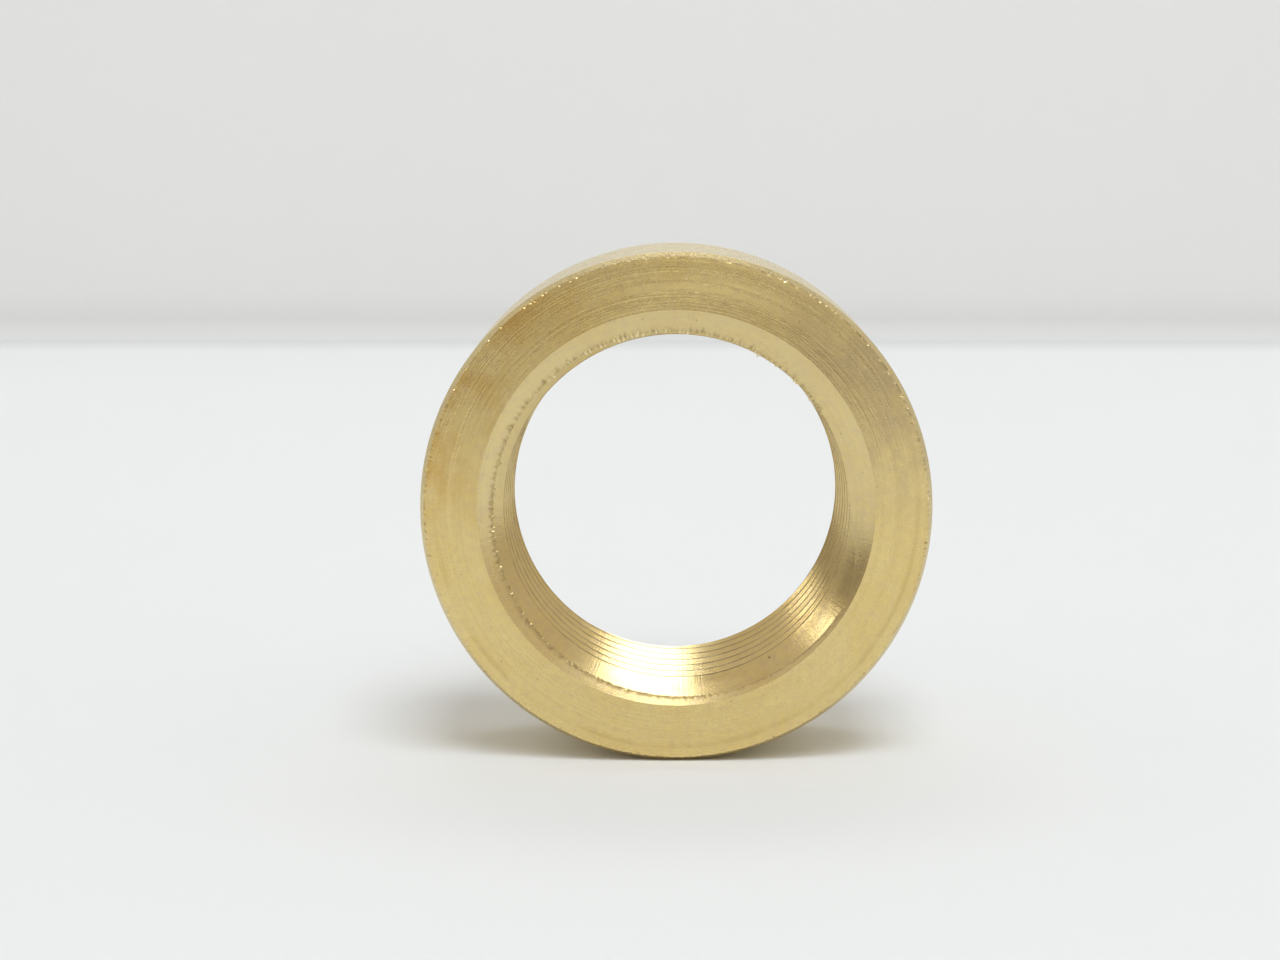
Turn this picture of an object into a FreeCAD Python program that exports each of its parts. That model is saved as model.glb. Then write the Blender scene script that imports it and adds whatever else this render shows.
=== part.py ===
import FreeCAD, Part

import math
import os

# Pipe coupling: one short ring turned from round brass bar, with a tapered pipe thread right through it.
# It lies on its side. The axis is Y, the front face looks along -Y and the origin is the ring's centre.
# All sizes are in millimetres. A depth is measured along the axis from the front face.

INCH = 25.4

# Turned blank
OUTER_RADIUS = 1.375 * INCH / 2
LENGTH = 0.55 * INCH
EDGE_BREAK_ACROSS = 0.28
EDGE_BREAK_ALONG = 0.60

# Thread: 3/4-14 NPT, right-hand, widest at the front face
PITCH = INCH / 14
RADIUS_LOST_PER_MM = 1 / 32
PITCH_RADIUS_AT_FRONT = 0.98887 * INCH / 2
BASIC_HEIGHT = 0.8 * PITCH
CREST_FLAT = 0.06 * PITCH
ROOT_FLAT = 0.04 * PITCH
FLANK_ANGLE = math.radians(30)
GROOVE_DEPTH_AT_BOTTOM = 0.44

# Countersinks: the cone's angle is its whole angle
MOUTH_RADIUS = 0.777 * OUTER_RADIUS
FRONT_CONE_ANGLE = math.radians(130)
BACK_CONE_ANGLE = math.radians(90)

# Cutting tool
TOOL_OVERRUN = 1.2 * PITCH
TOOL_CLEARANCE = 0.3

ORIGIN = FreeCAD.Vector(0, 0, 0)
ACROSS = FreeCAD.Vector(1, 0, 0)
ALONG = FreeCAD.Vector(0, 1, 0)
FRONT = -LENGTH / 2


def crest_radius(depth):
    """Radius of the tapered bore that the thread's crests lie on."""
    return PITCH_RADIUS_AT_FRONT - BASIC_HEIGHT / 2 - RADIUS_LOST_PER_MM * depth


def front_cone_depth():
    """Depth at which the front countersink meets the bore."""
    slope = math.tan(FRONT_CONE_ANGLE / 2)
    return (MOUTH_RADIUS - crest_radius(0)) / (slope - RADIUS_LOST_PER_MM)


def back_cone_length():
    """Distance from the back face to where the back countersink meets the bore."""
    slope = math.tan(BACK_CONE_ANGLE / 2)
    return (MOUTH_RADIUS - crest_radius(LENGTH)) / (slope + RADIUS_LOST_PER_MM)


def turned_ring():
    """The ring before threading: faces, edge breaks, countersinks and the tapered bore."""
    front_neck = front_cone_depth()
    back_neck = LENGTH - back_cone_length()
    outline = [
        (MOUTH_RADIUS, 0),
        (OUTER_RADIUS - EDGE_BREAK_ACROSS, 0),
        (OUTER_RADIUS, EDGE_BREAK_ALONG),
        (OUTER_RADIUS, LENGTH - EDGE_BREAK_ALONG),
        (OUTER_RADIUS - EDGE_BREAK_ACROSS, LENGTH),
        (MOUTH_RADIUS, LENGTH),
        (crest_radius(back_neck), back_neck),
        (crest_radius(front_neck), front_neck),
    ]
    points = [FreeCAD.Vector(radius, FRONT + depth, 0) for radius, depth in outline]
    section = Part.Face(Part.makePolygon(points + points[:1]))
    return section.revolve(ORIGIN, ALONG, 360)


def groove_section(radius):
    """The V of one thread groove, drawn in the XZ plane, with straight sides inside the crests."""
    half_mouth = (PITCH - CREST_FLAT) / 2
    half_root = ROOT_FLAT / 2
    depth = (half_mouth - half_root) / math.tan(FLANK_ANGLE)
    corners = [
        (radius - TOOL_CLEARANCE, -half_mouth),
        (radius, -half_mouth),
        (radius + depth, -half_root),
        (radius + depth, half_root),
        (radius, half_mouth),
        (radius - TOOL_CLEARANCE, half_mouth),
    ]
    points = [FreeCAD.Vector(across, 0, up) for across, up in corners]
    return Part.makePolygon(points + points[:1])


def thread_groove():
    """The whole helical groove as a solid, from behind the back face to ahead of the front face."""
    turns_behind = math.ceil((LENGTH + TOOL_OVERRUN - GROOVE_DEPTH_AT_BOTTOM) / PITCH)
    start_depth = GROOVE_DEPTH_AT_BOTTOM + turns_behind * PITCH
    travel = start_depth + TOOL_OVERRUN
    start_radius = crest_radius(start_depth)
    # A conical helix takes its pitch and its travel along the cone's slope, not along its axis.
    slope = math.atan(RADIUS_LOST_PER_MM)
    along_slope = 1 / math.cos(slope)
    helix = Part.makeLongHelix(PITCH * along_slope, travel * along_slope, start_radius, math.degrees(slope))
    groove = Part.Wire(helix.Edges).makePipeShell([groove_section(start_radius)], True, True)
    groove.rotate(ORIGIN, ACROSS, 90)
    groove.rotate(ORIGIN, ALONG, 90)
    groove.translate(ALONG * (FRONT + start_depth))
    return groove


def coupling_body():
    """The finished ring, one solid."""
    return turned_ring().cut(thread_groove()).Solids[0]


os.makedirs("parts", exist_ok=True)
coupling_body().exportStep("parts/coupling_body.step")
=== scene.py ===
import math
import random

import bpy
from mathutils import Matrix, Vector


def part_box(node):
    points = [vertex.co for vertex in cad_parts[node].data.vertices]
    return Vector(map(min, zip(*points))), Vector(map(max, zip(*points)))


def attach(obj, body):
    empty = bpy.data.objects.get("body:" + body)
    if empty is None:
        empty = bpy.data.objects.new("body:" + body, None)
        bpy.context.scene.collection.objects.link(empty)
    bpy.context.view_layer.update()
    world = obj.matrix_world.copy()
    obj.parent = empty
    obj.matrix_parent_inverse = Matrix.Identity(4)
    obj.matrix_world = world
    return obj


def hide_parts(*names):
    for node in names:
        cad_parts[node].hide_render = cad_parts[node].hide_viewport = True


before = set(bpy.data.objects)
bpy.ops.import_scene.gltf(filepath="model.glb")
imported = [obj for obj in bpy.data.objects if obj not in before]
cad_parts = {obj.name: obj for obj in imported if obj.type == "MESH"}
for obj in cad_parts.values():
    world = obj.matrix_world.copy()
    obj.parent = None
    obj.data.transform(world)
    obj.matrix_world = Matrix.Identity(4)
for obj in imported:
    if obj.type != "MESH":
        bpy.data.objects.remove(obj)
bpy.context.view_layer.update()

# The ring's axis is Y and its front face looks along -Y. A depth is measured along the axis from the front
# face, and an angle clockwise from the top as seen from the front. Shape sizes are in millimetres.
MM = 0.001
INCH = 25.4

low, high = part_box("coupling_body")
OUTER_RADIUS = min(high[0] - low[0], high[2] - low[2]) / 2 / MM
LENGTH = (high[1] - low[1]) / MM
FRONT = low[1] / MM
FLOOR = low[2]

# Thread: 3/4-14 NPT, as in the CAD part, but with its crests rounded
PITCH = INCH / 14
RADIUS_LOST_PER_MM = 1 / 32
CREST_RADIUS_AT_FRONT = 0.98887 * INCH / 2 - 0.4 * PITCH
HALF_ROOT = 0.04 * PITCH / 2
FLANK_ANGLE = math.radians(60)
FLANK_SLOPE = math.tan(FLANK_ANGLE)
CREST_ROUNDING = 0.115
GROOVE_DEPTH = (PITCH / 2 - HALF_ROOT) * FLANK_SLOPE - CREST_ROUNDING
GROOVE_DEPTH_AT_BOTTOM = 0.44
GROOVES = range(-1, 10)

# Countersinks and broken outer edges, as in the CAD part
MOUTH_RADIUS = 0.777 * OUTER_RADIUS
FRONT_CONE_SLOPE = math.tan(math.radians(65))
BACK_CONE_SLOPE = 1.0
EDGE_ACROSS = 0.28
EDGE_ALONG = 0.60
FLAT_EDGE = OUTER_RADIUS - EDGE_ACROSS

# Torn burr beside the thread's first turn. It starts where its line is this deep.
BURR_WIDTH = 0.065
BURR_START = 0.05
BURR_FADE_IN = 0.2
BURR_FADE_OUT = 0.02

# Wear, soiling and painted light. The thread's crests are dark with soiling and painted shade. The outer
# edges are stained most on one side, and their nicks carry painted glints there and opposite it.
CREST_SOIL_AND_SHADE_WIDTH = 0.055
NECK_BURR_WIDTH = 0.03
NECK_BURR_HEIGHT = 0.05
STAIN_AND_GLINT_SIDE = math.radians(25)
NICK_ACROSS = 0.09
NICK_ALONG = 0.07

# Mesh: columns round the ring, and the least distance between two points of one column
COLUMNS = 1080
MERGE_BELOW = 0.0015

FRONT_FACE, FRONT_CONE, THREAD, BACK_CONE, BACK_FACE, OUTSIDE, EDGE = range(7)


# ---------------------------------------------------------------- shape

def wobble(seed, waves, lowest, highest):
    """A smooth closed random curve round the ring: a function of the angle in radians, about -1 to 1."""
    draw = random.Random(seed)
    terms = [(draw.randint(lowest, highest), draw.uniform(0, 2 * math.pi), draw.uniform(0.4, 1.0))
             for _ in range(waves)]
    size = math.sqrt(sum(weight * weight for _, _, weight in terms) / 2) * 2

    def value(angle):
        return sum(weight * math.sin(turns * angle + phase) for turns, phase, weight in terms) / size
    return value


burr_height = wobble(3, 48, 40, 330)
burr_shift = wobble(4, 30, 15, 200)
burr_patch = wobble(5, 6, 2, 9)
burr_shade_wobble = wobble(11, 40, 8, 240)
neck_burr = wobble(6, 40, 40, 300)
front_edge_wear = wobble(7, 44, 80, 430)
back_edge_wear = wobble(8, 44, 80, 430)
edge_stain = wobble(9, 24, 3, 110)
crest_soil_and_shade = wobble(10, 30, 6, 150)


def clamp(value, lowest, highest):
    return max(lowest, min(highest, value))


def spread(start, end, count):
    return [start + (end - start) * k / (count - 1) for k in range(count)]


def bell(distance, width):
    """1 at no distance, falling smoothly to nearly 0 at twice the width."""
    return math.exp(-(distance / width) ** 2)


def crest_radius(depth):
    return CREST_RADIUS_AT_FRONT - RADIUS_LOST_PER_MM * depth


def front_cone_radius(depth):
    return MOUTH_RADIUS - FRONT_CONE_SLOPE * depth


def back_cone_radius(depth):
    return MOUTH_RADIUS - BACK_CONE_SLOPE * (LENGTH - depth)


FRONT_NECK = (MOUTH_RADIUS - crest_radius(0)) / (FRONT_CONE_SLOPE - RADIUS_LOST_PER_MM)
BACK_NECK = LENGTH - (MOUTH_RADIUS - crest_radius(LENGTH)) / (BACK_CONE_SLOPE + RADIUS_LOST_PER_MM)


def groove_centre(angle, groove):
    return GROOVE_DEPTH_AT_BOTTOM + PITCH * (angle / (2 * math.pi) - 0.5 + groove)


def thread_height(from_crest):
    """How far the thread's surface lies outside its crests, at a distance along the axis from a crest."""
    if from_crest < CREST_ROUNDING * math.sin(FLANK_ANGLE):
        return CREST_ROUNDING - math.sqrt(CREST_ROUNDING ** 2 - from_crest ** 2)
    return min(GROOVE_DEPTH, from_crest * FLANK_SLOPE - CREST_ROUNDING)


def burr_line(centre):
    """Depth at which a groove's near flank comes out on the front countersink."""
    crest = centre - PITCH / 2
    depth = ((MOUTH_RADIUS - crest_radius(0) + CREST_ROUNDING + crest * FLANK_SLOPE)
             / (FRONT_CONE_SLOPE + FLANK_SLOPE - RADIUS_LOST_PER_MM))
    return clamp(depth, crest, centre - HALF_ROOT)


def meeting_depths(centre):
    """Depths at which one groove's flanks and root meet the two countersinks."""
    crest_before, crest_after = centre - PITCH / 2, centre + PITCH / 2
    root_before, root_after = centre - HALF_ROOT, centre + HALF_ROOT
    front_gap = MOUTH_RADIUS - crest_radius(0)
    back_gap = front_gap - BACK_CONE_SLOPE * LENGTH
    front_far = ((front_gap + CREST_ROUNDING - crest_after * FLANK_SLOPE)
                 / (FRONT_CONE_SLOPE - FLANK_SLOPE - RADIUS_LOST_PER_MM))
    back_near = ((back_gap + CREST_ROUNDING + crest_before * FLANK_SLOPE)
                 / (FLANK_SLOPE - RADIUS_LOST_PER_MM - BACK_CONE_SLOPE))
    back_far = ((crest_after * FLANK_SLOPE - CREST_ROUNDING - back_gap)
                / (BACK_CONE_SLOPE + FLANK_SLOPE + RADIUS_LOST_PER_MM))
    front_root = (front_gap - GROOVE_DEPTH) / (FRONT_CONE_SLOPE - RADIUS_LOST_PER_MM)
    back_root = (GROOVE_DEPTH - back_gap) / (BACK_CONE_SLOPE + RADIUS_LOST_PER_MM)
    return [
        clamp(front_root, root_before, root_after),
        clamp(front_far, root_after, crest_after),
        clamp(back_near, crest_before, root_before),
        clamp(back_root, root_before, root_after),
        clamp(back_far, root_after, crest_after),
    ]


# Depths of the circles of points on the inside, and where points lie beside a groove's centre. A burr's steps
# are in burr widths from its line.
CIRCLES = (spread(0, FRONT_NECK, 10) + spread(FRONT_NECK, BACK_NECK, 8)[1:-1]
           + spread(BACK_NECK, LENGTH, 12))
CREST_STEPS = [CREST_ROUNDING * math.sin(FLANK_ANGLE * k / 4) for k in range(5)]
FLANK_STEPS = ([HALF_ROOT, PITCH / 4, PITCH / 2 - 0.18]
               + [PITCH / 2 - step for step in reversed(CREST_STEPS)])
BURR_STEPS = (-2.4, -1.3, -0.6, 0, 0.6, 1.5)


def burr_width(line):
    """Width of the torn edge, which is finer where its line is shallow."""
    return BURR_WIDTH * clamp(0.25 + 1.35 * line / FRONT_NECK, 0.5, 1.0)


def inner_depths(angle):
    """Depths of one column's points on the inside, from the front face to the back face."""
    depths = list(CIRCLES)
    for groove in GROOVES:
        centre = groove_centre(angle, groove)
        line = burr_line(centre)
        depths += [centre + side * step for step in FLANK_STEPS for side in (-1, 1)]
        depths += meeting_depths(centre)
        depths += [line + burr_width(line) * step for step in BURR_STEPS]
    return sorted(clamp(depth, 0, LENGTH) for depth in depths)


def burr(depth, angle):
    """Height, painted shade and painted glints of the torn edge beside the thread's first turn, where it
    stands up into the bore.
    """
    rise = shade = 0.0
    for groove in (0, 1):
        line = burr_line(groove_centre(angle, groove))
        if BURR_START < line < FRONT_NECK:
            fade = (min(1.0, (FRONT_NECK - line) / BURR_FADE_OUT)
                    * min(1.0, (line - BURR_START) / BURR_FADE_IN))
            width = burr_width(line)
            from_ridge = (depth - line) / width - 0.9 * burr_shift(angle)
            tallest = (0.05 + 0.16 * line / FRONT_NECK) * (1.2 + 0.4 * math.cos(angle))
            peak = max(0.0, burr_height(angle) + 0.1) * (0.8 + 0.3 * burr_patch(angle))
            rise += fade * width / BURR_WIDTH * bell(from_ridge, 1.0) * (0.03 + tallest * peak)
            # Painted shade along the ridge, and painted glints on its tallest parts towards the top of the
            # ring.
            stain_and_shade = clamp(0.8 + 0.3 * burr_shade_wobble(angle), 0.5, 1.1)
            glint_strength = 4.5 * peak * max(0.0, math.cos(angle))
            shade += fade * (stain_and_shade * bell(from_ridge, 1.7) - glint_strength * bell(from_ridge, 0.7))
    return rise, shade


def inner_point(depth, angle):
    """Radius, finish zone and darkening of the inside at one place. Above 0 it is soiling and painted shade,
    below 0 a painted glint.
    """
    front, back = front_cone_radius(depth), back_cone_radius(depth)
    turn = (depth - groove_centre(angle, 0)) / PITCH
    height = thread_height(PITCH * (0.5 - abs(turn - round(turn))))
    bore = crest_radius(depth) + height
    radius = max(front, back, bore)
    zone = FRONT_CONE if front >= bore - 1e-6 else BACK_CONE if back >= bore - 1e-6 else THREAD
    near_crest = bell(height, CREST_SOIL_AND_SHADE_WIDTH)
    grime_shade_glint = 0.0
    if zone == THREAD:
        # Dark lines along the thread's crests: partly soiling, partly painted shade between the turns.
        along_crest = 0.37 * (angle + 2 * math.pi * math.floor(turn))
        grime_shade_glint = near_crest * (0.30 + 0.4 * crest_soil_and_shade(along_crest))
    if depth < FRONT_NECK + 0.2:
        rise, torn_shade_glint = burr(depth, angle)
        neck = near_crest * bell(depth - FRONT_NECK, NECK_BURR_WIDTH) * max(0.0, neck_burr(angle))
        rise += NECK_BURR_HEIGHT * neck
        radius -= rise
        if abs(torn_shade_glint) > grime_shade_glint:
            grime_shade_glint = torn_shade_glint
        # Painted glints on the neck's torn edge towards the top of the ring.
        grime_shade_glint -= 3.5 * neck * max(0.0, math.cos(angle)) ** 4
        if rise > 0.02:
            zone = EDGE
    return radius, zone, grime_shade_glint


def outer_outline():
    """Radius, depth and finish zone of one column's points round the outside, from mouth to mouth."""
    face = spread(MOUTH_RADIUS, FLAT_EDGE - 0.3, 12) + [FLAT_EDGE - step for step in (0.18, 0.09, 0.04, 0)]
    across_edge = (0, 0.12, 0.25, 0.5, 0.75, 1)
    outline = [(radius, 0, FRONT_FACE) for radius in face]
    outline += [(FLAT_EDGE + EDGE_ACROSS * t, EDGE_ALONG * t, EDGE) for t in across_edge[1:]]
    outline += [(OUTER_RADIUS, depth, OUTSIDE)
                for depth in spread(EDGE_ALONG, LENGTH - EDGE_ALONG, 16)[1:]]
    outline += [(FLAT_EDGE + EDGE_ACROSS * t, LENGTH - EDGE_ALONG * t, EDGE) for t in across_edge[-2::-1]]
    outline += [(radius, LENGTH, BACK_FACE) for radius in face[-2::-1]]
    return outline


def worn_and_glinting(radius, depth, angle):
    """Radius, depth and darkening of a point of the outside, where an outer edge is nicked and stained, and
    where its nicks carry painted glints.
    """
    grime_shade_glint = 0.0
    handled = 0.5 + 0.5 * math.cos(angle - STAIN_AND_GLINT_SIDE)
    for face_depth, inwards, wear in ((0, 1, front_edge_wear), (LENGTH, -1, back_edge_wear)):
        nick = max(0.0, wear(angle) - 0.15)
        nick *= bell(depth - face_depth, 0.2) * bell(radius - FLAT_EDGE, 0.1)
        radius -= NICK_ACROSS * nick
        depth += NICK_ALONG * nick * inwards
        stain_and_shade = max(0.0, edge_stain(angle + face_depth) + 0.7 * handled ** 4) * (0.9 + 0.4 * wear(angle))
        grime_shade_glint += stain_and_shade * bell(radius - FLAT_EDGE + 0.03, 0.05) * bell(depth - face_depth, 0.1)
        # Painted glints on the nicks, strongest on the stained side and opposite it.
        grime_shade_glint -= 1.3 * nick * abs(math.cos(angle - STAIN_AND_GLINT_SIDE)) ** 3
    return radius, depth, clamp(grime_shade_glint, -1.0, 1.0)


def to_space(radius, depth, angle):
    return (radius * math.sin(angle) * MM, (FRONT + depth) * MM, radius * math.cos(angle) * MM)


def merged(depths):
    """The depths of a column's points, and which point each depth goes to. Close depths share one."""
    points, owners = [], []
    for depth in depths:
        if not points or depth - points[-1] > MERGE_BELOW:
            points.append(depth)
        owners.append(len(points) - 1)
    return points, owners


def ring_mesh():
    """The whole ring as one closed mesh, with a finish zone on every face, and soiling, painted shade and
    painted glints on every vertex.
    """
    vertices, soil_shade_glint, faces, zones = [], [], [], []

    def add_point(radius, depth, angle, grime_shade_glint):
        vertices.append(to_space(radius, depth, angle))
        soil_shade_glint.append(grime_shade_glint)
        return len(vertices) - 1

    def add_face(corners, zone):
        distinct = [corner for k, corner in enumerate(corners) if corner != corners[k - 1]]
        if len(set(distinct)) >= 3:
            faces.append(distinct)
            zones.append(zone)

    outline = outer_outline()
    inner_columns, outer_columns = [], []
    for column in range(COLUMNS):
        angle = 2 * math.pi * column / COLUMNS
        depths = inner_depths(angle)
        points, owners = merged(depths)
        inner = []
        for depth in points:
            radius, _, grime_shade_glint = inner_point(depth, angle)
            inner.append(add_point(radius, depth, angle, grime_shade_glint))
        outer = []
        for radius, depth, _ in outline[1:-1]:
            radius, depth, grime_shade_glint = worn_and_glinting(radius, depth, angle)
            outer.append(add_point(radius, depth, angle, grime_shade_glint))
        inner_columns.append(([inner[owner] for owner in owners], depths))
        outer_columns.append([inner[0]] + outer + [inner[-1]])

    # After a whole turn each groove has moved on by one pitch, so the first column is met again there.
    depths = inner_depths(2 * math.pi)
    points, owners = merged(depths)
    first = sorted(set(inner_columns[0][0]))
    if len(points) != len(first):
        raise ValueError("the thread's two ends don't meet")
    inner_columns.append(([first[owner] for owner in owners], depths))
    outer_columns.append(outer_columns[0])

    for column in range(COLUMNS):
        angle = 2 * math.pi * (column + 0.5) / COLUMNS
        (here, depths), (there, other) = inner_columns[column], inner_columns[column + 1]
        for k in range(len(here) - 1):
            corners = (here[k], here[k + 1], there[k + 1], there[k])
            if len(set(corners)) >= 3:
                middle = (depths[k] + depths[k + 1] + other[k] + other[k + 1]) / 4
                add_face(corners, inner_point(middle, angle)[1])
        here, there = outer_columns[column], outer_columns[column + 1]
        for k in range(len(here) - 1):
            add_face((here[k + 1], here[k], there[k], there[k + 1]), outline[k + 1][2])
    return vertices, soil_shade_glint, faces, zones


# ---------------------------------------------------------------- materials

class Graph:
    """A material's nodes, written as calls. A number or a socket can be given for any input."""

    def __init__(self, material):
        material.use_nodes = True
        self.tree = material.node_tree
        self.tree.nodes.clear()

    def add(self, kind, inputs=(), **settings):
        node = self.tree.nodes.new(kind)
        for name, value in settings.items():
            setattr(node, name, value)
        pairs = inputs.items() if isinstance(inputs, dict) else enumerate(inputs)
        for key, value in pairs:
            if isinstance(value, bpy.types.NodeSocket):
                self.tree.links.new(value, node.inputs[key])
            else:
                node.inputs[key].default_value = value
        return node

    def math(self, operation, *values):
        return self.add("ShaderNodeMath", values, operation=operation).outputs[0]

    def vector(self, operation, *values):
        node = self.add("ShaderNodeVectorMath", values, operation=operation)
        return node.outputs["Value" if operation in ("LENGTH", "DOT_PRODUCT") else "Vector"]

    def scaled(self, vector, amount):
        node = self.add("ShaderNodeVectorMath", {"Vector": vector, "Scale": amount}, operation="SCALE")
        return node.outputs["Vector"]

    def noise(self, vector, scale, detail=2.0, roughness=0.5):
        inputs = {"Vector": vector, "Scale": scale, "Detail": detail, "Roughness": roughness}
        return self.add("ShaderNodeTexNoise", inputs).outputs["Fac"]

    def remap(self, value, start, end, low=0.0, high=1.0):
        """Takes start to low and end to high along a smooth step, and keeps outside values at the ends."""
        node = self.add("ShaderNodeMapRange", (value, start, end, low, high), interpolation_type="SMOOTHSTEP")
        return node.outputs[0]

    def blend(self, factor, first, second):
        """Mixes two colours. Sockets 0, 6 and 7 are the factor and the two colours."""
        node = self.add("ShaderNodeMix", {0: factor, 6: first, 7: second}, data_type="RGBA")
        return node.outputs[2]


# Sizes in materials are in metres, and a noise's scale is per metre.
MICRON = 0.000001
TOOL_LINES_PER_METRE = 7500
CLOUDS_PER_METRE = 260.0
MOTTLE_PER_METRE = 2000.0
SPECKS_PER_METRE = 3200.0
GRAIN_PER_METRE = 11000.0
CHATTER_ROUND_RING = 70.0
SHADED_GROOVE_REACH = 0.0003

FACE_BRASS = (0.798, 0.632, 0.288)
CONE_BRASS = (0.745, 0.60, 0.305)
THREAD_BRASS = (0.685, 0.545, 0.265)
SIDE_BRASS = (0.785, 0.665, 0.385)
EDGE_BRASS = (0.72, 0.58, 0.29)
ORANGE = (0.66, 0.42, 0.13, 1.0)
ROSE = (0.66, 0.52, 0.28, 1.0)
SPECK = (0.20, 0.13, 0.05, 1.0)
GRIME_AND_SHADE = (0.22, 0.15, 0.05, 1.0)
PAINTED_GLINT = (0.98, 0.86, 0.54, 1.0)


class TurnedSurface:
    """The coordinates and noises that a turned surface's colour and relief share."""

    def __init__(self, g, along):
        self.g = g
        self.position = g.add("ShaderNodeTexCoord").outputs["Object"]
        place = g.add("ShaderNodeSeparateXYZ", (self.position,))
        flat = g.add("ShaderNodeCombineXYZ", (place.outputs[0], 0.0, place.outputs[2])).outputs[0]
        self.outwards = g.vector("NORMALIZE", flat)
        self.turn = g.add("ShaderNodeSeparateXYZ", (self.outwards,))
        self.from_axis = g.vector("LENGTH", flat)
        self.across = place.outputs[1] if along else self.from_axis
        self.fine = self.rings(TOOL_LINES_PER_METRE, 0.6)
        self.dashes = self.rings(TOOL_LINES_PER_METRE, 15.0)
        self.broad = self.rings(TOOL_LINES_PER_METRE * 0.2, 0.5)
        self.clouds = g.noise(self.position, CLOUDS_PER_METRE, 4.0, 0.62)
        self.mottle = g.noise(self.position, MOTTLE_PER_METRE, 3.0, 0.6)
        self.grain = g.noise(self.position, GRAIN_PER_METRE, 2.0, 0.7)
        self.specks = g.noise(self.position, SPECKS_PER_METRE, 1.0, 0.5)

    def rings(self, per_metre, round_ring):
        """Noise in lines that run round the axis: long ones, or dashes where round_ring is large."""
        g = self.g
        vector = g.add("ShaderNodeCombineXYZ", (
            g.math("MULTIPLY", self.across, per_metre), g.math("MULTIPLY", self.turn.outputs[0], round_ring),
            g.math("MULTIPLY", self.turn.outputs[2], round_ring))).outputs[0]
        return g.noise(vector, 1.0, 2.0, 0.6)

    def towards(self, x, z):
        """How nearly a place lies in one direction from the axis: 1 is straight that way."""
        return self.g.vector("DOT_PRODUCT", self.outwards, (x, 0.0, z))


def tarnished(surface, shade, tarnish):
    """Stains, each given by its middle and reach in degrees round the ring, its rim's radius and its tint."""
    g = surface.g
    for middle, reach, rim, tint in tarnish:
        middle, reach = math.radians(middle), math.radians(reach)
        patch = g.remap(surface.towards(math.sin(middle), math.cos(middle)), math.cos(reach), 1.0)
        patch = g.math("MULTIPLY", patch, g.remap(surface.broad, 0.30, 0.62, 0.75, 1.0))
        patch = g.math("MULTIPLY", patch, g.remap(surface.from_axis, rim - 0.002, rim, 0.4, 1.0))
        patch = g.math("MULTIPLY", patch, g.remap(surface.clouds, 0.35, 0.62, 0.1, 1.0))
        shade = g.blend(patch, shade, tint)
    return shade


def brass_colour(surface, colour, line_stain, tarnish, shaded_groove):
    """Brass with faint clouds, mottle, tarnish, stained tool lines, painted shade in a groove, specks,
    soiling, painted shade and painted glints.
    """
    g = surface.g

    def shade_of(red, green, blue):
        return (colour[0] * red, colour[1] * green, colour[2] * blue, 1.0)

    shade = g.blend(g.remap(surface.clouds, 0.40, 0.68), shade_of(1.0, 1.0, 1.0), shade_of(0.97, 0.93, 0.84))
    shade = g.blend(g.remap(surface.mottle, 0.48, 0.70, 0.0, 0.8), shade, shade_of(0.94, 0.91, 1.02))
    shade = g.blend(g.remap(surface.mottle, 0.52, 0.30, 0.0, 0.6), shade, shade_of(1.05, 1.05, 0.96))
    shade = tarnished(surface, shade, tarnish)
    lines = g.math("MULTIPLY", g.remap(surface.fine, 0.48, 0.62),
                   g.remap(surface.dashes, 0.35, 0.60, 0.2, 1.0))
    shade = g.blend(g.math("MULTIPLY", lines, line_stain), shade, shade_of(0.72, 0.66, 0.55))
    if shaded_groove:
        # Painted shade of a shallow groove round the face, on its lower half only.
        from_line = g.math("ABSOLUTE", g.math("SUBTRACT", surface.from_axis, shaded_groove))
        line = g.math("MULTIPLY", g.remap(from_line, SHADED_GROOVE_REACH, 0.0, 0.0, 0.45),
                      g.remap(surface.clouds, 0.38, 0.6, 0.2, 1.0))
        line = g.math("MULTIPLY", line, g.remap(surface.towards(0.0, 1.0), 0.3, -0.5))
        shade = g.blend(line, shade, shade_of(0.74, 0.68, 0.55))
    shade = g.blend(g.remap(surface.specks, 0.78, 0.81, 0.0, 0.6), shade, SPECK)
    grime_shade_glint = g.add("ShaderNodeAttribute", attribute_name="grime_shade_glint").outputs["Fac"]
    # The vertex attribute darkens with soiling and painted shade above 0, and paints glints in a bright
    # colour below 0.
    shade = g.blend(g.remap(grime_shade_glint, 0.0, 1.4, 0.0, 0.75), shade, GRIME_AND_SHADE)
    return g.blend(g.remap(grime_shade_glint, 0.0, -1.0), shade, PAINTED_GLINT)


def brass_normal(surface, line_depth, grain_depth, chatter, tilt):
    """Relief of tool lines, dashes, grain and chatter, on a surface whose normal may lean outwards."""
    g = surface.g
    normal = g.add("ShaderNodeNewGeometry").outputs["Normal"]
    if tilt:
        normal = g.vector("NORMALIZE", g.vector("ADD", normal, g.scaled(surface.outwards, tilt)))
    height = g.math("ADD", g.math("MULTIPLY", surface.fine, line_depth),
                    g.math("MULTIPLY", surface.dashes, line_depth * 0.6))
    height = g.math("ADD", height, g.math("MULTIPLY", surface.grain, grain_depth))
    if chatter:
        ripple = g.noise(g.scaled(surface.outwards, CHATTER_ROUND_RING), 1.0, 2.0, 0.6)
        height = g.math("ADD", height, g.math("MULTIPLY", ripple, chatter))
    inputs = {"Strength": 1.0, "Distance": 1.0, "Height": height, "Normal": normal}
    return g.add("ShaderNodeBump", inputs).outputs[0]


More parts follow.
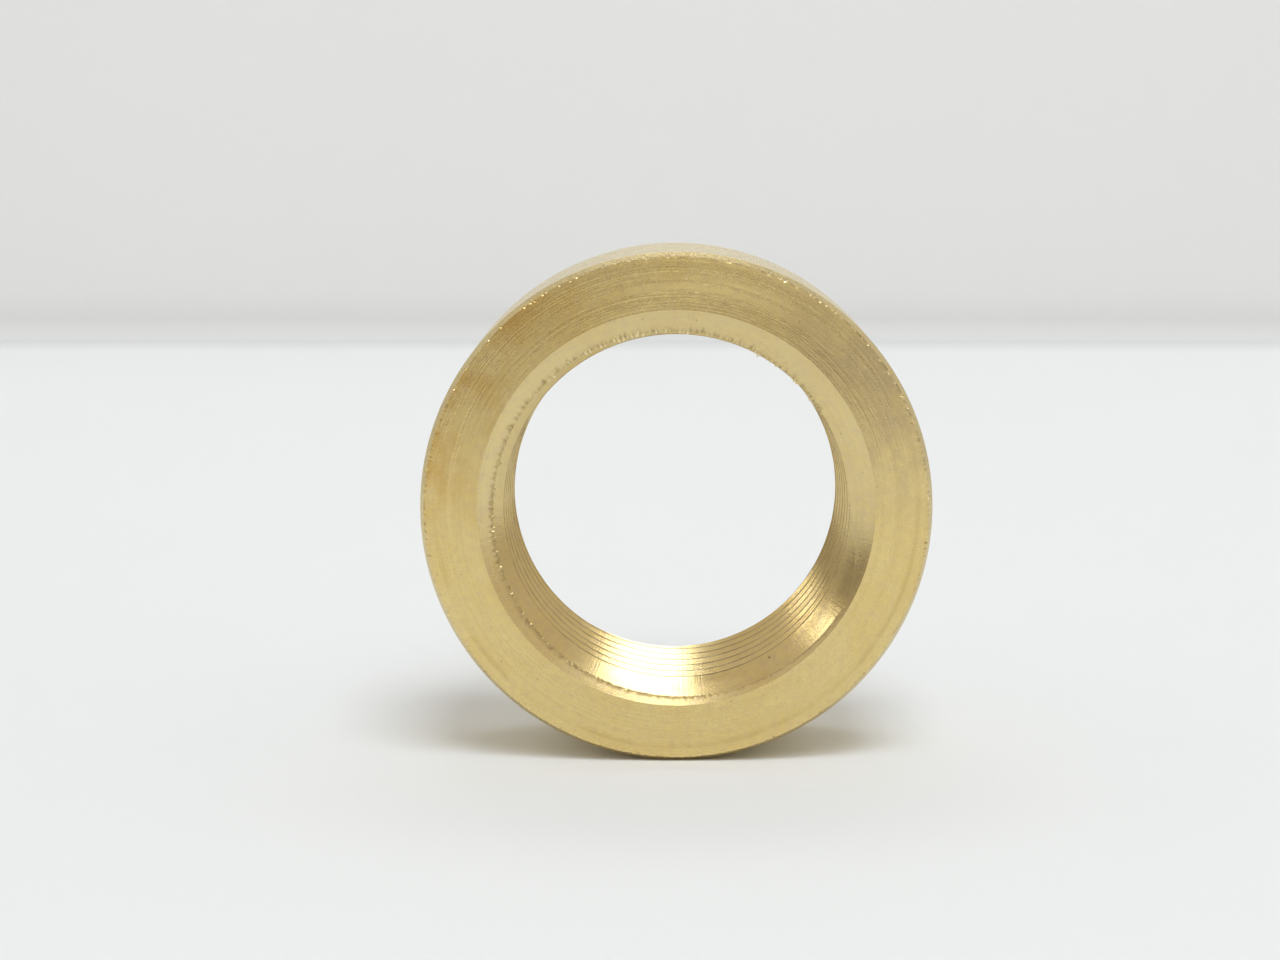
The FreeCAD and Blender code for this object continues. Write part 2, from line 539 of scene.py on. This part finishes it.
def brass(name, colour, roughness, anisotropy, line_depth, line_stain, along=False, tilt=0.0,
          tarnish=(), grain_depth=4 * MICRON, chatter=0.0, shaded_groove=None):
    """Turned brass. Its tool lines run round the ring, side by side along the axis or across a face."""
    material = bpy.data.materials.new(name)
    g = Graph(material)
    surface = TurnedSurface(g, along)
    gloss = g.math("ADD", g.remap(surface.broad, 0.25, 0.75, roughness - 0.05, roughness + 0.05),
                   g.remap(surface.grain, 0.2, 0.8, -0.04, 0.04))
    tangent = g.add("ShaderNodeTangent", direction_type="RADIAL", axis="Y")
    shader = g.add("ShaderNodeBsdfPrincipled", {
        "Base Color": brass_colour(surface, colour, line_stain, tarnish, shaded_groove),
        "Metallic": 1.0,
        "Roughness": gloss,
        "Anisotropic": anisotropy,
        "Anisotropic Rotation": 0.25,
        "Normal": brass_normal(surface, line_depth, grain_depth, chatter, tilt),
        "Tangent": tangent.outputs[0],
    })
    g.add("ShaderNodeOutputMaterial", {"Surface": shader.outputs[0]})
    return material


def face_brass(name, tarnish, shaded_groove=None):
    return brass(name, FACE_BRASS, roughness=0.28, anisotropy=0.5, line_depth=22 * MICRON, line_stain=0.16,
                 tilt=0.10, tarnish=tarnish, shaded_groove=shaded_groove)


def cone_brass(name):
    return brass(name, CONE_BRASS, roughness=0.22, anisotropy=0.2, line_depth=3 * MICRON, line_stain=0.12,
                 chatter=2 * MICRON)


def thread_brass(name):
    return brass(name, THREAD_BRASS, roughness=0.19, anisotropy=0.2, line_depth=2 * MICRON, line_stain=0.12,
                 along=True, chatter=4 * MICRON)


def side_brass(name):
    return brass(name, SIDE_BRASS, roughness=0.28, anisotropy=0.4, line_depth=8 * MICRON, line_stain=0.22,
                 along=True)


def edge_brass(name):
    return brass(name, EDGE_BRASS, roughness=0.24, anisotropy=0.1, line_depth=8 * MICRON, line_stain=0.2,
                 along=True, grain_depth=30 * MICRON)


FRONT_TARNISH = ((300, 42, 0.0166, ORANGE), (60, 38, 0.0, ROSE))
BACK_TARNISH = ((200, 50, 0.0150, ORANGE),)
SHADED_GROOVE_RADIUS = 0.0164


def ring_materials():
    """The ring's finishes by zone."""
    return {
        FRONT_FACE: face_brass("brass_front_face", FRONT_TARNISH, SHADED_GROOVE_RADIUS),
        FRONT_CONE: cone_brass("brass_front_countersink"),
        THREAD: thread_brass("brass_thread"),
        BACK_CONE: cone_brass("brass_back_countersink"),
        BACK_FACE: face_brass("brass_back_face", BACK_TARNISH),
        OUTSIDE: side_brass("brass_outside"),
        EDGE: edge_brass("brass_edges"),
    }


def pale_stage(name, colour, corner_shade, axis, reach):
    """Matt and pale, with faint clouds, and painted shade towards the line where table and wall meet."""
    material = bpy.data.materials.new(name)
    g = Graph(material)
    position = g.add("ShaderNodeTexCoord").outputs["Object"]
    clouds = g.noise(position, 6.0, 3.0, 0.5)
    shade = g.blend(g.remap(clouds, 0.3, 0.7), colour + (1.0,), tuple(c * 0.985 for c in colour) + (1.0,))
    # Painted shade near the corner where table and wall meet.
    corner_shade_mask = g.remap(g.add("ShaderNodeSeparateXYZ", (position,)).outputs[axis], *reach)
    shade = g.blend(corner_shade_mask, shade, tuple(c * corner_shade for c in colour) + (1.0,))
    inputs = {"Base Color": shade, "Roughness": 0.7, "Specular IOR Level": 0.2}
    shader = g.add("ShaderNodeBsdfPrincipled", inputs)
    g.add("ShaderNodeOutputMaterial", {"Surface": shader.outputs[0]})
    return material


# ---------------------------------------------------------------- objects

def make_object(name, vertices, faces):
    mesh = bpy.data.meshes.new(name)
    mesh.from_pydata(vertices, [], faces)
    mesh.validate()
    item = bpy.data.objects.new(name, mesh)
    bpy.context.scene.collection.objects.link(item)
    return item


def make_ring():
    vertices, soil_shade_glint, faces, zones = ring_mesh()
    ring = make_object("coupling_ring", vertices, faces)
    for _, material in sorted(ring_materials().items()):
        ring.data.materials.append(material)
    ring.data.polygons.foreach_set("material_index", zones)
    ring.data.attributes.new("grime_shade_glint", "FLOAT", "POINT").data.foreach_set("value", soil_shade_glint)
    ring.data.shade_smooth()
    ring.data.set_sharp_from_angle(angle=math.radians(14))
    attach(ring, "root")
    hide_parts("coupling_body")


WALL_DISTANCE = 0.352
WALL_HEIGHT = 0.6
SWEEP_RADIUS = 0.004
STAGE_REACH = 1.6
FLOOR_COLOUR = (0.86, 0.875, 0.88)
WALL_COLOUR = (0.80, 0.805, 0.80)


def make_stage():
    """A pale table top and a pale wall behind it, joined by a short curve."""
    bend = [(WALL_DISTANCE - SWEEP_RADIUS * (1 - math.sin(t)), SWEEP_RADIUS * (1 - math.cos(t)))
            for t in spread(0, math.pi / 2, 13)]
    outline = [(-STAGE_REACH, 0.0)] + bend + [(WALL_DISTANCE, WALL_HEIGHT)]
    split = len(bend) // 2 + 1
    floor_paint = pale_stage("pale_floor", FLOOR_COLOUR, corner_shade=0.84, axis=1,
                             reach=(WALL_DISTANCE - 0.03, WALL_DISTANCE))
    wall_paint = pale_stage("pale_backdrop", WALL_COLOUR, corner_shade=0.91, axis=2,
                            reach=(FLOOR + 0.010, FLOOR + 0.001))
    for name, points, paint in (("floor", outline[:split + 1], floor_paint),
                                ("backdrop", outline[split:], wall_paint)):
        vertices = [(side, along, FLOOR + up) for along, up in points for side in (-STAGE_REACH, STAGE_REACH)]
        faces = [(2 * k, 2 * k + 1, 2 * k + 3, 2 * k + 2) for k in range(len(points) - 1)]
        item = make_object(name, vertices, faces)
        item.data.materials.append(paint)
        item.data.shade_smooth()


def sine(degrees):
    return math.sin(math.radians(degrees))


def cosine(degrees):
    return math.cos(math.radians(degrees))


def direction(azimuth, elevation):
    """From the ring: azimuth 0 is straight to the front and grows to the right, in degrees."""
    return Vector((sine(azimuth) * cosine(elevation), -cosine(azimuth) * cosine(elevation), sine(elevation)))


def soft_light(name, azimuth, elevation, distance, width, height, brightness, colour=(1, 1, 1)):
    """A rectangular light that faces the ring. Brightness is its own radiance."""
    data = bpy.data.lights.new(name, "AREA")
    data.shape, data.size, data.size_y = "RECTANGLE", width, height
    data.energy = brightness * math.pi * width * height
    data.color = colour
    light = bpy.data.objects.new(name, data)
    towards = direction(azimuth, elevation)
    light.location = towards * distance
    light.rotation_mode = "QUATERNION"
    light.rotation_quaternion = towards.to_track_quat("Z", "Y")
    bpy.context.scene.collection.objects.link(light)


COOL = (0.925, 0.985, 1.06)
ROOM = (0.67, 0.615, 0.54, 1.0)
ROOM_LOW = (0.335, 0.305, 0.27, 1.0)
ROOM_SIDES = (0.48, 0.44, 0.39, 1.0)
ROOM_BEHIND = (0.86, 0.80, 0.69, 1.0)
CEILING = (0.12, 0.12, 0.12, 1.0)


def make_lights():
    """Soft lights in front, above and behind."""
    soft_light("light_front", 10.0, 51.0, 1.2, 0.50, 0.50, 4.0, COOL)
    soft_light("light_strip", -49.0, 23.0, 1.2, 0.09, 0.18, 4.3)
    soft_light("light_overhead", 18.0, 66.0, 1.6, 0.75, 0.5, 6.9, COOL)
    soft_light("light_back", 180.0, 57.0, 0.5, 0.29, 0.11, 1.95)


def make_room():
    """A plain room that is darker low down in front, and overhead."""
    world = bpy.data.worlds.new("room")
    g = Graph(world)
    facing = g.add("ShaderNodeTexCoord").outputs["Generated"]

    def within(middle, outer, inner):
        """1 nearer than inner degrees to a direction and 0 past outer degrees."""
        return g.remap(g.vector("DOT_PRODUCT", facing, tuple(middle)), cosine(outer), cosine(inner))

    height = g.vector("DOT_PRODUCT", facing, (0.0, 0.0, 1.0))
    sideways = g.math("ABSOLUTE", g.vector("DOT_PRODUCT", facing, (1.0, 0.0, 0.0)))
    low_down = g.remap(height, sine(26), sine(10))
    overhead = g.remap(height, sine(48), sine(62))
    sides = g.remap(sideways, sine(48), sine(58))
    left_of_front = within(direction(-22.0, 0.0), 60, 42)
    ahead = within(direction(0.0, 20.0), 75, 50)
    in_front = g.blend(g.math("MULTIPLY", low_down, sides), ROOM, ROOM_SIDES)
    in_front = g.blend(g.math("MULTIPLY", low_down, left_of_front), in_front, ROOM_LOW)
    shade = g.blend(ahead, ROOM_BEHIND, in_front)
    shade = g.blend(overhead, shade, CEILING)
    background = g.add("ShaderNodeBackground", {"Color": shade})
    g.add("ShaderNodeOutputWorld", {"Surface": background.outputs[0]})
    bpy.context.scene.world = world


# The camera's place is in millimetres from the middle of the front face, and its turns are in radians.
CAMERA_PLACE = (-1.10, -204.27, 28.08)
CAMERA_YAW = -0.00667
CAMERA_PITCH = 0.1269
CAMERA_LENS = 85.31


def make_camera():
    data = bpy.data.cameras.new("camera")
    data.lens, data.sensor_width = CAMERA_LENS, 36.0
    data.clip_start, data.clip_end = 0.01, 20.0
    camera = bpy.data.objects.new("camera", data)
    across, along, up = CAMERA_PLACE
    camera.location = (across * MM, (FRONT + along) * MM, up * MM)
    forward = Vector((math.sin(CAMERA_YAW) * math.cos(CAMERA_PITCH),
                      math.cos(CAMERA_YAW) * math.cos(CAMERA_PITCH), -math.sin(CAMERA_PITCH)))
    camera.rotation_mode = "QUATERNION"
    camera.rotation_quaternion = forward.to_track_quat("-Z", "Y")
    bpy.context.scene.collection.objects.link(camera)
    bpy.context.scene.camera = camera


make_ring()
make_stage()
make_lights()
make_room()
make_camera()
bpy.context.scene.view_settings.view_transform = "Standard"
